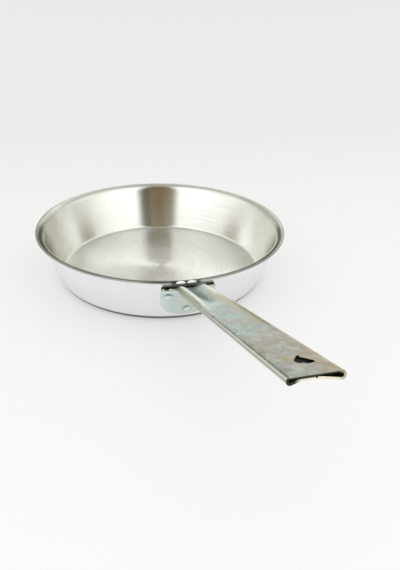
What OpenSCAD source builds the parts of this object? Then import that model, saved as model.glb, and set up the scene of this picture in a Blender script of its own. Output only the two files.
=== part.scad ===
// Omelette pan: a pressed aluminium pan with a handle folded from one plated steel sheet.
// Millimetres, +Z up. The origin is the centre of the base, on the surface that the pan stands on.
// The handle points to -Y, towards the viewer, and its left and right are the viewer's.

/* [Pan] */
// Diameter over the rolled-out lip
rim_d = 203; // [190:1:230]
// Height of the lip above the table
pan_h = 41; // [40:0.5:50]
// Diameter of the flat part of the base
base_d = 161; // [140:1:165]
// Thickness of the aluminium
pan_t = 2; // [1.2:0.1:3]
// Outside radius of the corner between base and wall
base_corner_r = 5; // [4:0.5:10]
// Radius of the hollow under the lip, where the wall turns outward
lip_r = 5; // [4:0.5:7]
// How far the lip has turned from upright at its edge, in degrees
lip_turn = 84; // [60:1:89]

/* [Handle sheet] */
// Thickness of the steel sheet
sheet_t = 1; // [0.8:0.1:1.2]
// Width of the handle over its folded edges
handle_w = 24; // [22:0.5:32]
// Distance from the pan's axis to the tip, measured level
handle_reach = 280; // [240:1:320]
// Rise of the handle above level, in degrees
handle_rise = 19; // [12:0.5:25]
// How far below the top of the lip the handle's top passes the edge of the pan
handle_drop = 3.2; // [3:0.1:5]
// Outside height of the left fold, which is pressed nearly flat
left_fold_h = 3.3; // [3:0.1:4.5]
// Outside height of the right fold, which has sprung open
right_fold_h = 4; // [3:0.1:5]
// Gap that stays between a folded flap and the sheet above it
flap_gap = 0.15; // [0.1:0.05:0.4]
// Gap between the two flaps under the middle of the handle
seam_gap = 0.8; // [0.4:0.1:3]

/* [Neck] */
// Narrowest width of the handle, just before the plate
neck_w = 22; // [20:0.5:22]
// Distance between the two ridges that border the trough
ridge_w = 15.6; // [12:0.2:16]
// Height of the ridges above the flat top of the handle
ridge_rise = 0.7; // [0:0.1:1]
// Depth of the stiffening trough below the flat top
trough_d = 3.4; // [1:0.1:4.5]
// Distance from the edge of the pan to where the trough begins to run out
trough_len = 36; // [25:1:60]
// Length over which the trough runs out
trough_fade = 32; // [15:1:60]
// Depth of the neck's sides
neck_side = 2; // [2:0.1:4]
// Distance from the edge of the pan to where the neck begins to spread
neck_start = 15; // [10:1:22]

/* [Root plate] */
// Width of the plate over its two ears
plate_w = 39; // [37:0.5:46]
// Height of the plate's lowest point above the table
plate_low_z = 6.5; // [5:0.5:9]
// Distance of the plate's flared top edge below the top of the lip
plate_drop = 7.6; // [7:0.1:9]
// Radius of the rounded lower end of the plate
plate_end_r = 30; // [24:1:45]
// Radius of the plate's lower corners
plate_corner_r = 14; // [8:0.5:16]
// Radius of the ears' upper corners
ear_r = 2; // [1:0.1:4]
// Bending radius of the flared top edge
flare_r = 7; // [4:0.5:9]
// How far the top edge is bent away from the wall, in degrees
flare_turn = 42; // [20:1:50]
// Gap between the plate and the pan's wall
plate_gap = 0.1; // [0.05:0.05:0.5]

/* [Rivets] */
// Diameter of a rivet's shank
rivet_d = 3.6; // [3:0.1:4.5]
// Clearance of a shank in its holes, on the diameter
rivet_clear = 0.1; // [0.05:0.05:0.4]
// Diameter of the low head outside
rivet_head_d = 5.6; // [5:0.1:7]
// Height of the low head outside
rivet_head_h = 1.1; // [0.8:0.1:1.6]
// Diameter of the head inside the pan
rivet_inner_d = 7; // [5:0.1:9]
// Height of the head inside the pan
rivet_inner_h = 1.2; // [0.8:0.1:2]
// Gap under a rivet's head
head_gap = 0.06; // [0.02:0.02:0.2]
// Distance of the two upper rivets from the middle
rivet_side = 13.8; // [12.5:0.1:15]
// Height of the two upper rivets
rivet_high_z = 25.4; // [23:0.1:27]
// Height of the lower rivet
rivet_low_z = 12.4; // [11:0.1:15]

/* [Hanging hole] */
// Distance from the tip to the centre of the hole's round end, along the handle
hole_back = 15.2; // [12:0.2:30]
// Diameter of the round end, nearer the tip
hole_d = 8.6; // [6:0.1:10]
// Diameter of the narrow end, nearer the pan
hole_end_d = 3; // [2:0.1:4.8]
// Distance between the centres of the two ends
hole_len = 5.4; // [5:0.1:12]
// Distance of the hole to the right of the middle
hole_side = 2.4; // [-2:0.1:3]

/* [Hidden] */

rim_r = rim_d / 2;
base_r = base_d / 2;
edge_r = pan_t / 2;
turn_fn = 180;
far = 400;

function mix(a, b, t) = a + (b - a) * t;
function ease(t) = let (u = min(1, max(0, t))) u * u * (3 - 2 * u);
function unit(v) = v / norm(v);

// The pan's section, as distance from the axis and height: a corner, a straight wall that
// touches both circles, and a lip that rolls outward
corner_c = [base_r, base_corner_r];
lip_mid_r = lip_r + edge_r;
lip_c = [rim_r - edge_r + lip_mid_r * cos(lip_turn), pan_h - edge_r - lip_mid_r * sin(lip_turn)];
between = lip_c - corner_c;
// Lean of the wall from upright
lean = acos((base_corner_r + lip_r) / norm(between)) - atan2(between[1], between[0]);
wall_out = [cos(lean), -sin(lean)];
wall_foot = corner_c + base_corner_r * wall_out;
wall_head = lip_c - lip_r * wall_out;

// Distance from the axis of a surface that stands off the wall's outer face by a gap
function wall_r(z, off = 0) = wall_foot[0] + (z - wall_foot[1]) * tan(lean) + off / cos(lean);

// The plate lies on the wall and bends outward at its top edge
half_t = sheet_t / 2;
plate_off = plate_gap + half_t;
plate_top_z = pan_h - plate_drop;
flare_end = lean + flare_turn;
flare_z = plate_top_z - flare_r * (sin(flare_end) - sin(lean));
flare_c = [wall_r(flare_z, plate_off), flare_z] + flare_r * wall_out;

// A point of the flare's middle surface, to one side of the handle's line
function on_flare(x, turn) =
  let (r = flare_c[0] - flare_r * cos(turn), z = flare_c[1] + flare_r * sin(turn))
  [x, -sqrt(r * r - x * x), z];

// Sections across the handle: a station is the distance from the edge of the pan
along = [0, -cos(handle_rise), sin(handle_rise)];
above = [0, sin(handle_rise), cos(handle_rise)];
top_start = [0, -rim_r, pan_h - handle_drop];
tip_at = (handle_reach - rim_r) / cos(handle_rise);
trough_end = trough_len + trough_fade;
// The flaps grow from the neck's edges to the middle over this length, after the trough
flap_grow = 26;

ridge_x = ridge_w / 2;
half_w = handle_w / 2 - half_t;
neck_half_w = neck_w / 2 - half_t;
neck_curl_r = 1;
neck_flap = 1;
// Distance of the left flap's bend from its fold, where the flap comes to lie under the sheet
flap_rise = 4;
flap_z = sheet_t + flap_gap;
flap_end = [seam_gap / 2, -flap_z];
function fold_r(side) = ((side < 0 ? left_fold_h : right_fold_h) - sheet_t) / 2;
// Where each flap first points to after its fold: the left one bends there, the right one ends
function flap_aim(side) = side < 0 ? [half_w - fold_r(side) - flap_rise, -flap_z] : flap_end;
// How far past half a turn a fold goes, so that its flap rises to that point
function over_turn(side) =
  let (r = fold_r(side),
       reach = half_w - r - flap_aim(side)[0],
       climb = flap_z - r)
  asin(r / norm([reach, climb])) - atan2(climb, reach);

trough_steps = 4;
turn_steps = 5;
top_i = trough_steps + 1;
side_i = top_i + turn_steps;
under_i = side_i + turn_steps;
edge_i = under_i + 2;

// Point i of half a section, from the middle over the fold to the flap's edge
function section(i, station, side) =
  let (r = fold_r(side),
       full = ease((station - trough_len) / trough_fade),
       flap = ease((station - trough_end) / flap_grow),
       w = mix(neck_half_w, half_w, full),
       rise = ridge_rise * (1 - full),
       sunk = trough_d * (1 - full),
       across = mix(neck_half_w - ridge_x - 0.4, r, full),
       down = mix(neck_side, r, full),
       curl = mix(neck_curl_r, r, full),
       turn = 90 + over_turn(side) * flap,
       low = [w - curl + curl * cos(turn), -down - curl * sin(turn)],
       bend = side < 0 ? flap_aim(side) : mix(low, flap_end, 0.5),
       x = ridge_x * i / trough_steps,
       a = 90 * (i - top_i) / turn_steps,
       b = turn * (i - side_i) / turn_steps,
       short = [w - curl - neck_flap, -down - curl])
  i <= trough_steps ? [x, rise - (sunk + rise) * (1 + cos(180 * i / trough_steps)) / 2] :
  i <= side_i ? [w - across + across * sin(a), rise - (down + rise) * (1 - cos(a))] :
  i <= under_i ? [w - curl + curl * cos(b), -down - curl * sin(b)] :
  i < edge_i ? mix(mix(low, short, 0.5), bend, flap) :
  mix(short, flap_end, flap);

function handle_point(i, station, side) =
  let (p = section(i, station, side))
  top_start + along * station + [side * p[0], 0, 0] + above * (p[1] - half_t);

// Where each line of the handle's sheet meets the plate's flared edge
root_side = 15;
function root_x(i) = i <= trough_steps ? ridge_x * i / trough_steps :
  mix(ridge_x, root_side, (i - trough_steps) / (edge_i - trough_steps));
// How much steeper than the flare a line sets off: most on the ridges, so that they stand up
// at once, and not at all in the middle and at the neck's edges
ridge_lift = 26;
function root_lift(i) = ridge_lift * (i <= trough_steps ? (1 - cos(180 * i / trough_steps)) / 2 :
  1 - ease((i - trough_steps) / turn_steps));
function root_dir(i, side) =
  let (p = on_flare(side * root_x(i), flare_end),
       out = unit([p[0], p[1], 0]),
       fan = 62 * ease((i - trough_steps) / (edge_i - trough_steps)),
       lay = flare_end - root_lift(i))
  cos(fan) * (sin(lay) * out + cos(lay) * [0, 0, 1]) - sin(fan) * [side, 0, 0];

// A smooth curve from the flared edge to the start of the neck
function root_point(i, t, side) =
  let (p = on_flare(side * root_x(i), flare_end),
       q = handle_point(i, neck_start, side),
       reach = norm(q - p),
       t2 = t * t,
       t3 = t2 * t)
  (2 * t3 - 3 * t2 + 1) * p + (t3 - 2 * t2 + t) * reach * root_dir(i, side)
  + (3 * t2 - 2 * t3) * q + (t3 - t2) * reach * along;

// Rows of the sheet, from inside the plate's edge to the tip
tuck = 6;
root_rows = [0.05, 0.14, 0.25, 0.38, 0.52, 0.68, 0.84];
fade_rows = [for (k = [0 : 6]) trough_len + trough_fade * k / 6];
flap_rows = [for (k = [1 : 4]) trough_end + flap_grow * k / 4];
straight_at = trough_end + flap_grow + 0.1;
stations = concat([neck_start, mix(neck_start, trough_len, 0.5)], fade_rows, flap_rows,
                  [straight_at + 0.5]);
first = 1 + len(root_rows);
rows = first + len(stations);
cols = 2 * edge_i + 1;

function sheet_mid(row, col) =
  let (side = col < edge_i ? -1 : 1,
       i = abs(col - edge_i))
  row == 0 ? on_flare(side * root_x(i), flare_end - tuck) :
  row < first ? root_point(i, root_rows[row - 1], side) :
  row < rows - 1 || i < edge_i ? handle_point(i, stations[row - first], side) :
  mix(handle_point(i, stations[row - first], side), handle_point(i - 1, stations[row - first], side), 0.1);

mids = [for (row = [0 : rows - 1]) [for (col = [0 : cols - 1]) sheet_mid(row, col)]];

function sheet_normal(row, col) =
  let (out = mids[min(rows - 1, row + 1)][col] - mids[max(0, row - 1)][col],
       right = mids[row][min(cols - 1, col + 1)] - mids[row][max(0, col - 1)])
  unit(cross(right, out));

// The ends that lie inside the plate and the straight part are thinner, so that they stay
// within those pieces' faces
function sheet_face(sign) =
  [for (row = [0 : rows - 1], col = [0 : cols - 1])
    mids[row][col] + sign * half_t * (row == 0 || row == rows - 1 ? 0.8 : 1)
    * sheet_normal(row, col)];

module sheet_shell() {
  under = rows * cols;
  upper_faces = [for (row = [0 : rows - 2], col = [0 : cols - 2])
    let (a = row * cols + col, b = a + 1, c = a + cols, d = c + 1)
    each [[a, d, b], [a, c, d]]];
  lower_faces = [for (f = upper_faces) [f[2] + under, f[1] + under, f[0] + under]];
  ring = concat([for (col = [0 : cols - 1]) col],
                [for (row = [1 : rows - 1]) row * cols + cols - 1],
                [for (col = [cols - 2 : -1 : 0]) (rows - 1) * cols + col],
                [for (row = [rows - 2 : -1 : 1]) row * cols]);
  border = [for (k = [0 : len(ring) - 1])
    let (a = ring[k], b = ring[(k + 1) % len(ring)])
    each [[a, b, b + under], [a, b + under, a + under]]];
  polyhedron(points = concat(sheet_face(1), sheet_face(-1)),
             faces = concat(upper_faces, lower_faces, border), convexity = 10);
}

module sector(c, r, from, to) {
  middle = (from + to) / 2;
  translate(c) polygon([[0, 0], 3 * r * [cos(from), sin(from)],
                        3 * r * [cos(middle), sin(middle)], 3 * r * [cos(to), sin(to)]]);
}

module ring_part(c, r_in, r_out, from, to) {
  intersection() {
    difference() {
      translate(c) circle(r_out, $fn = turn_fn);
      translate(c) circle(r_in, $fn = turn_fn);
    }
    sector(c, r_out, from, to);
  }
}

// Turns children from lying on the wall's outer face, at x to the side and height z, with
// their +Z pointing away from the pan
module on_wall(x, z) {
  r = wall_r(z);
  rotate([0, 0, asin(x / r) - 90]) translate([r, 0, z]) rotate([0, 90 + lean, 0]) children();
}

module rivet_hole(x, z) {
  on_wall(x, z) cylinder(d = rivet_d + rivet_clear, h = 20, center = true, $fn = 48);
}

module rivet_holes() {
  rivet_hole(-rivet_side, rivet_high_z);
  rivet_hole(rivet_side, rivet_high_z);
  rivet_hole(0, rivet_low_z);
}

module pan_section() {
  square([base_r, pan_t]);
  ring_part(corner_c, base_corner_r - pan_t, base_corner_r, -90, -lean);
  polygon([wall_foot, wall_head, wall_head - pan_t * wall_out, wall_foot - pan_t * wall_out]);
  ring_part(lip_c, lip_r, lip_r + pan_t, 180 - lip_turn, 180 - lean);
  translate([rim_r - edge_r, pan_h - edge_r]) circle(edge_r, $fn = 48);
}

module pan_body() {
  color([0.75, 0.76, 0.75]) difference() {
    rotate_extrude($fn = turn_fn) pan_section();
    rivet_holes();
  }
}

// The space outward of a line that stands off the flare's centre by r, on the wall's side
module outward_of(r, reach) {
  up_wall = [sin(lean), cos(lean)];
  foot = flare_c - r * wall_out;
  polygon([foot, foot - reach * up_wall, flare_c + reach * (wall_out - up_wall),
           flare_c + reach * wall_out]);
  translate(flare_c) circle(r, $fn = turn_fn);
}

module plate_section() {
  low_z = plate_low_z - 2;
  reach = 2 * pan_h;
  end_dir = [-cos(flare_end), sin(flare_end)];
  inward = [-sin(flare_end), -cos(flare_end)];
  intersection() {
    difference() {
      outward_of(flare_r + half_t, reach);
      outward_of(flare_r - half_t, reach + 5);
    }
    polygon([flare_c + reach * end_dir, flare_c + reach * (end_dir + inward),
             flare_c + reach * (inward - end_dir), flare_c - reach * end_dir]);
    translate([0, low_z]) square([far, pan_h]);
  }
}

// The plate's outline as seen from the tip of the handle
module plate_outline() {
  half = plate_w / 2;
  top = plate_top_z + half_t * sin(flare_end);
  end_c = [0, plate_low_z + plate_end_r];
  corner_x = half - plate_corner_r;
  corner_drop = sqrt(pow(plate_end_r - plate_corner_r, 2) - corner_x * corner_x);
  difference() {
    intersection() {
      translate([-half, plate_low_z]) square([plate_w, top - plate_low_z]);
      translate(end_c) circle(plate_end_r, $fn = turn_fn);
    }
    for (side = [0, 1]) mirror([side, 0]) {
      difference() {
        sector([corner_x, end_c[1] - corner_drop], plate_corner_r, -atan2(corner_drop, corner_x), 0);
        translate([corner_x, end_c[1] - corner_drop]) circle(plate_corner_r, $fn = turn_fn);
      }
      difference() {
        sector([half - ear_r, top - ear_r], ear_r, 0, 90);
        translate([half - ear_r, top - ear_r]) circle(ear_r, $fn = 48);
      }
    }
  }
}

module plate() {
  intersection() {
    rotate_extrude($fn = turn_fn) plate_section();
    rotate([90, 0, 0]) linear_extrude(far) plate_outline();
  }
}

// A band of the sheet's thickness along a bent line, cut square at both ends
module band(line) {
  n = len(line);
  dirs = [for (k = [0 : n - 2]) unit(line[k + 1] - line[k])];
  sides = [for (k = [0 : n - 1])
    let (a = dirs[max(0, k - 1)], b = dirs[min(n - 2, k)], m = unit(a + b))
    half_t / (m * a) * [-m[1], m[0]]];
  polygon(concat([for (k = [0 : n - 1]) line[k] + sides[k]],
                 [for (k = [n - 1 : -1 : 0]) line[k] - sides[k]]));
}

// The straight part's section runs through the same points as the rows of the sheet
module straight_part() {
  line = [for (col = [0 : cols - 1])
    let (side = col < edge_i ? -1 : 1, p = section(abs(col - edge_i), straight_at, side))
    [side * p[0], p[1]]];
  translate(top_start + along * straight_at - above * half_t)
    rotate([90 - handle_rise, 0, 0]) linear_extrude(tip_at - straight_at) band(line);
}

module hanging_hole() {
  big = hole_d / 2;
  small = hole_end_d / 2;
  a = acos((big - small) / hole_len);
  // The straight sides lie a little inside the two circles' common tangents
  inset = 0.05;
  side = [sin(a), cos(a)];
  top = [0, hole_len] + (small - inset) * side;
  foot = (big - inset) * side;
  translate(top_start + along * (tip_at - hole_back) + [hole_side, 0, 0])
    rotate([-handle_rise, 0, 0]) translate([0, 0, -20]) linear_extrude(40) {
      circle(big, $fn = 64);
      translate([0, hole_len]) circle(small, $fn = 48);
      polygon([foot, top, [-top[0], top[1]], [-foot[0], foot[1]]]);
    }
}

module handle() {
  color([0.72, 0.76, 0.73]) difference() {
    union() {
      plate();
      sheet_shell();
      straight_part();
    }
    rivet_holes();
    hanging_hole();
  }
}

module cap(d, h) {
  // A low dome on a short straight edge
  edge = 0.2;
  ball = (d * d / 4 + pow(h - edge, 2)) / (2 * (h - edge));
  cylinder(d = d, h = edge, $fn = 48);
  intersection() {
    translate([0, 0, h - ball]) sphere(ball, $fn = 96);
    cylinder(d = d, h = h, $fn = 48);
  }
}

module rivet(x, z) {
  outer = plate_gap + sheet_t + head_gap;
  // The inner head also clears the hollow of the wall that it lies across
  inner = pan_t + head_gap + rivet_inner_d * rivet_inner_d / (8 * (wall_r(z) - pan_t));
  on_wall(x, z) {
    translate([0, 0, outer]) cap(rivet_head_d, rivet_head_h);
    translate([0, 0, -inner - 0.1]) cylinder(d = rivet_d, h = outer + inner + 0.2, $fn = 48);
    translate([0, 0, -inner]) mirror([0, 0, 1]) cap(rivet_inner_d, rivet_inner_h);
  }
}

module rivet_left() {
  color([0.8, 0.8, 0.8]) rivet(-rivet_side, rivet_high_z);
}

module rivet_right() {
  color([0.8, 0.8, 0.8]) rivet(rivet_side, rivet_high_z);
}

module rivet_lower() {
  color([0.8, 0.8, 0.8]) rivet(0, rivet_low_z);
}

pan_body();
handle();
rivet_left();
rivet_right();
rivet_lower();
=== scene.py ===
# %% [markdown]
# An omelette pan of turned aluminium with a folded steel handle
#
# A press draws the real pan from a disc of aluminium, and a lathe leaves fine rings on it. Its
# handle is one sheet of steel, folded, plated with zinc and held by three rivets. The packed
# model gives the rivets. This script models the two sheets again, finer, and gives each part its
# finish. Lengths are in millimetres, and new_piece turns them into metres.

# %% Load the imported model
import math

import bpy
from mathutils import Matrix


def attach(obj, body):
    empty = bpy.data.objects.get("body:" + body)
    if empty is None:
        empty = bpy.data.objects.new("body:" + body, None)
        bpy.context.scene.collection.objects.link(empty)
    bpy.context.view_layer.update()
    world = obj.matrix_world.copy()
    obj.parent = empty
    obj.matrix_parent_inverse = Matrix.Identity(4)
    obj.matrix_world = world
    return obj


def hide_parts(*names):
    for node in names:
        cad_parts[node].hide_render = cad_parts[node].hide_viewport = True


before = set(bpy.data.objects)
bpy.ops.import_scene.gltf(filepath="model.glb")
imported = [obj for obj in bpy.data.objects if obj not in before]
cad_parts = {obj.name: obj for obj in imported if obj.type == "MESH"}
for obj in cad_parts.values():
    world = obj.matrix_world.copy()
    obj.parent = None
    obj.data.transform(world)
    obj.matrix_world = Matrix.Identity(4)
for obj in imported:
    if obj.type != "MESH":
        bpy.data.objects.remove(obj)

bpy.ops.object.select_all(action="DESELECT")
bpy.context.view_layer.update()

# %% [markdown]
# Helpers for meshes
#
# Both sheets follow formulas, so their points are worked out and handed to Blender in one go,
# which is more exact than dragging points by hand. Where two strips of a sheet meet, points lie
# double and faces may look inward. The last helper puts that right in edit mode, with the same
# operators that one would pick from the Mesh menu.

# %% Make a mesh from points
MM = 0.001
SAME_POINT = 1e-6


def select_only(piece):
    """Select one object and make it active, because operators act on what is selected."""
    bpy.ops.object.select_all(action="DESELECT")
    piece.select_set(True)
    bpy.context.view_layer.objects.active = piece


def new_piece(name, points, edges, faces):
    """A selected mesh object at the origin, from points in millimetres."""
    mesh = bpy.data.meshes.new(name)
    mesh.from_pydata([(x * MM, y * MM, z * MM) for x, y, z in points], edges, faces)
    piece = bpy.data.objects.new(name, mesh)
    bpy.context.collection.objects.link(piece)
    select_only(piece)
    return piece


def tidy_normals():
    """Join points that coincide and turn all faces outward, in the active object."""
    bpy.ops.object.mode_set(mode="EDIT")
    bpy.ops.mesh.select_all(action="SELECT")
    bpy.ops.mesh.remove_doubles(threshold=SAME_POINT)
    bpy.ops.mesh.normals_make_consistent(inside=False)
    bpy.ops.object.mode_set(mode="OBJECT")


# %% [markdown]
# The outline of the pan
#
# Cut through, the real pan is a line 2 mm thick: a flat base, a round corner, a wall that leans
# out and a lip that rolls outward. One could trace that line by eye. But a pressing tool is made
# of arcs and straight lines, so the outline is built the same way. The corner and the lip are
# given arcs, the wall is the straight line that touches both, and its lean follows from that.

# %% Find the lean of the wall
# Radius of the base, of the corner beside it, and the thickness of the sheet
BASE_R, CORNER_R, SHEET = 80.5, 5.0, 2.0
# Top of the lip, radius over it, and the radius and the turn of its roll
LIP_TOP, RIM_R, LIP_R, LIP_TURN = 41.0, 101.5, 5.0, 84.0
EDGE_R = SHEET / 2
lip_mid = LIP_R + EDGE_R
lip_turn = math.radians(LIP_TURN)
lip_x = RIM_R - EDGE_R + lip_mid * math.cos(lip_turn)
lip_z = LIP_TOP - EDGE_R - lip_mid * math.sin(lip_turn)
dx, dz = lip_x - BASE_R, lip_z - CORNER_R
lean = math.acos((CORNER_R + LIP_R) / math.hypot(dx, dz)) - math.atan2(dz, dx)
lean_deg = math.degrees(lean)
print("the wall leans out by", lean_deg, "degrees")

# %% Draw the outline
BASE_MIDDLE = 40.0
CORNER_STEPS, LIP_STEPS, EDGE_STEPS = 12, 16, 12


def arc(cx, cz, r, start, end, steps):
    """Points of an arc; its angles are in degrees, from the side upward."""
    angles = [math.radians(start + (end - start) * k / steps) for k in range(steps + 1)]
    return [(cx + r * math.cos(a), cz + r * math.sin(a)) for a in angles]


outline = [(0, 0), (BASE_MIDDLE, 0)]
outline += arc(BASE_R, CORNER_R, CORNER_R, -90, -lean_deg, CORNER_STEPS)
outline += arc(lip_x, lip_z, LIP_R, 180 - lean_deg, 180 - LIP_TURN, LIP_STEPS)
outline += arc(RIM_R - EDGE_R, LIP_TOP - EDGE_R, EDGE_R,
               -LIP_TURN, 180 - LIP_TURN, EDGE_STEPS)[1:-1]
outline += arc(lip_x, lip_z, LIP_R + SHEET, 180 - LIP_TURN, 180 - lean_deg, LIP_STEPS)
outline += arc(BASE_R, CORNER_R, CORNER_R - SHEET, -lean_deg, -90, CORNER_STEPS)
outline += [(BASE_MIDDLE, SHEET), (0, SHEET)]
print("points of the outline", len(outline))

# %% [markdown]
# Turn the pan
#
# A lathe turns the real pan round its axis. In Blender a line can be turned by the spin operator
# or by the Screw modifier. The modifier is used here, because it closes the last step onto the
# first by itself. The two points on the axis come out once for each step, and are joined.

# %% Turn the outline round the axis
TURN_STEPS = 256
pan = new_piece("pan_turned", [(x, 0, z) for x, z in outline],
                [(k, k + 1) for k in range(len(outline) - 1)], [])
screw = pan.modifiers.new("turn", "SCREW")
screw.steps = screw.render_steps = TURN_STEPS
bpy.ops.object.modifier_apply(modifier="turn")
tidy_normals()
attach(pan, "root")
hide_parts("pan_body")
print("faces of the pan", len(pan.data.polygons))

# %% [markdown]
# The section of the handle
#
# The real handle starts as a flat strip. A tool presses a trough between two ridges into its
# neck. Further out the strip is flat, and its edges are folded under: the left fold is pressed
# nearly shut, and the right one has sprung open. Extruding one section would miss the change
# from neck to handle. So a function gives half a section at any distance from the pan. That
# distance is called the station, and the place along half the strip is called u. The next cell
# names the places: the middle is 0, then come ridge, shoulder, side, fold and flap.

# %% Sizes of the handle
# The sheet's thickness, the handle's rise, its tip's distance from the axis, and its start
# under the lip's top
THICK, RISE, REACH, START_DOWN = 1.0, math.radians(19), 280, 3.2
# Widths of handle and neck, and how far a ridge is from the middle
HANDLE_W, NECK_W, RIDGE_X = 24.0, 22.0, 7.8
# The neck: its ridges and trough, then its sides, which curl under to a stub
RIDGE_UP, TROUGH_DEEP, RIDGE_FLAT = 0.7, 3.4, 0.4
NECK_DOWN, NECK_CURL, STUB = 2, 1, 1
# Where the neck starts and its trough begins to fade, and the lengths of the changes
NECK_START, TROUGH_LEN, TROUGH_FADE, FLAP_GROW = 15.0, 36.0, 32.0, 26.0
LEFT, RIGHT = -1, 1
# Height of each fold, and how its flap lies under the sheet
FOLD_H = {LEFT: 3.3, RIGHT: 4.0}
FLAP_GAP, FLAP_APART, LEFT_FLAP_SLOPE = 0.15, 0.4, 4
# Places along half the strip
U_RIDGE, U_SHOULDER, U_SIDE, U_UNDER, U_BEND, U_EDGE = 4, 5, 10, 15, 16, 17
TIP = (REACH - RIM_R) / math.cos(RISE)
HALF_W, HALF_NECK = (HANDLE_W - THICK) / 2, (NECK_W - THICK) / 2
FLAP_Z = THICK + FLAP_GAP
print("station of the tip", TIP)

# %% How far each fold turns


def mix(a, b, t):
    """The number that lies at the share t of the way from a to b."""
    return a + (b - a) * t


def ease(t):
    """A share that starts and ends gently, held between nought and one."""
    t = min(1, max(0, t))
    return t * t * (3 - 2 * t)


def fold_radius(side):
    """Radius of a fold, at the middle of the sheet's thickness."""
    return (FOLD_H[side] - THICK) / 2


def flap_meets(side):
    """How far from the middle a flap has come up to the sheet. The left one does so early."""
    return HALF_W - fold_radius(side) - LEFT_FLAP_SLOPE if side == LEFT else FLAP_APART


def over_turn(side):
    """How far past half a turn a fold goes, so that its flap rises to the sheet."""
    r = fold_radius(side)
    reach, climb = HALF_W - r - flap_meets(side), FLAP_Z - r
    return math.asin(r / math.hypot(reach, climb)) - math.atan2(climb, reach)


for side in (LEFT, RIGHT):
    print("fold", side, "turns by", 180 + math.degrees(over_turn(side)), "degrees")

# %% Points of a flap


def flap_point(u, side, half, down, curl, turn, grown):
    """A point of the flap, which is a short stub at the neck and grows to its full width."""
    low = (half - curl + curl * math.cos(turn), -down - curl * math.sin(turn))
    stub = (half - curl - STUB, -down - curl)
    end = (FLAP_APART, -FLAP_Z)
    halfway = [mix(a, b, 0.5) for a, b in zip(low, end)]
    aim = (flap_meets(side), -FLAP_Z) if side == LEFT else halfway
    bend = [mix(mix(a, b, 0.5), c, grown) for a, b, c in zip(low, stub, aim)]
    edge = [mix(a, b, grown) for a, b in zip(stub, end)]
    first, last, t = (low, bend, u - U_UNDER) if u <= U_BEND else (bend, edge, u - U_BEND)
    return mix(first[0], last[0], t), mix(first[1], last[1], t)


print("the flaps reach the sheet at", flap_meets(LEFT), "and", flap_meets(RIGHT))

# %% Half a section at any station


def section(u, station, side):
    """A point of half a section, as its distance to the side and its height."""
    full = ease((station - TROUGH_LEN) / TROUGH_FADE)
    r = fold_radius(side)
    half = mix(HALF_NECK, HALF_W, full)
    up, sunk = RIDGE_UP * (1 - full), TROUGH_DEEP * (1 - full)
    across = mix(HALF_NECK - RIDGE_X - RIDGE_FLAT, r, full)
    down, curl = mix(NECK_DOWN, r, full), mix(NECK_CURL, r, full)
    if u <= U_RIDGE:
        wave = (1 + math.cos(math.pi * u / U_RIDGE)) / 2
        return RIDGE_X * u / U_RIDGE, up - (sunk + up) * wave
    if u <= U_SHOULDER:
        return mix(RIDGE_X, half - across, u - U_RIDGE), up
    if u <= U_SIDE:
        a = math.pi / 2 * (u - U_SHOULDER) / (U_SIDE - U_SHOULDER)
        return half - across + across * math.sin(a), up - (down + up) * (1 - math.cos(a))
    grown = ease((station - TROUGH_LEN - TROUGH_FADE) / FLAP_GROW)
    turn = math.pi / 2 + over_turn(side) * grown
    if u <= U_UNDER:
        b = turn * (u - U_SIDE) / (U_UNDER - U_SIDE)
        return half - curl + curl * math.cos(b), -down - curl * math.sin(b)
    return flap_point(u, side, half, down, curl, turn, grown)


print("side of the neck", section(U_SIDE, NECK_START, LEFT), "and tip", section(U_SIDE, TIP, LEFT))

# %% From the section to the pan


def over_handle(x, station, height):
    """The place of a point that is given in the handle's own directions."""
    return (x, -RIM_R - math.cos(RISE) * station + math.sin(RISE) * height,
            LIP_TOP - START_DOWN + math.sin(RISE) * station + math.cos(RISE) * height)


def handle_point(u, station, side):
    """A point of the middle of the sheet, half a thickness under its top face."""
    x, height = section(u, station, side)
    return over_handle(side * x, station, height - THICK / 2)


print("middle of the trough", handle_point(0, NECK_START, RIGHT))

# %% [markdown]
# The plate and the root
#
# The plate at the end of the real handle is the same sheet, pressed against the wall of the pan.
# Its top edge bends outward, and the middle of that edge runs on as the neck. The plate lies on
# a cone, so its points come from the distance to the axis. The bend is an arc. The root between
# bend and neck has no simple form: each of its lines is a smooth curve that leaves the bend in
# one direction and arrives in the direction of the handle. Curves that leave fanned out spread
# the sheet's edges to the sides.

# %% The plate on the wall
# Width of the plate, its lowest height, its top under the lip's top, and its gap to the wall
PLATE_W, PLATE_LOW, PLATE_DOWN, PLATE_GAP = 39.0, 6.5, 7.6, 0.1
# Radius and turn of the bend, then radii of the lower edge, its corners and the ears
FLARE_R, FLARE_TURN = 7.0, 42.0
LOW_R, LOW_CORNER_R, EAR_R = 30.0, 14.0, 2.0
stand_off = PLATE_GAP + THICK / 2
flare_end = lean + math.radians(FLARE_TURN)
flare_z = LIP_TOP - PLATE_DOWN - FLARE_R * (math.sin(flare_end) - math.sin(lean))


def wall_r(z, off=stand_off):
    """Distance from the axis to the wall, or to the middle of the plate that lies on it."""
    foot_x = BASE_R + CORNER_R * math.cos(lean)
    foot_z = CORNER_R - CORNER_R * math.sin(lean)
    return foot_x + (z - foot_z) * math.tan(lean) + off / math.cos(lean)


def plate_low(x):
    """Height of the plate's rounded lower edge: a wide arc between two corner arcs."""
    x = abs(x)
    corner_x = PLATE_W / 2 - LOW_CORNER_R
    drop = math.sqrt((LOW_R - LOW_CORNER_R) ** 2 - corner_x ** 2)
    if x < corner_x * LOW_R / (LOW_R - LOW_CORNER_R):
        return PLATE_LOW + LOW_R - math.sqrt(LOW_R ** 2 - x * x)
    corner = math.sqrt(max(0, LOW_CORNER_R ** 2 - (x - corner_x) ** 2))
    return PLATE_LOW + LOW_R - drop - corner


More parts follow.
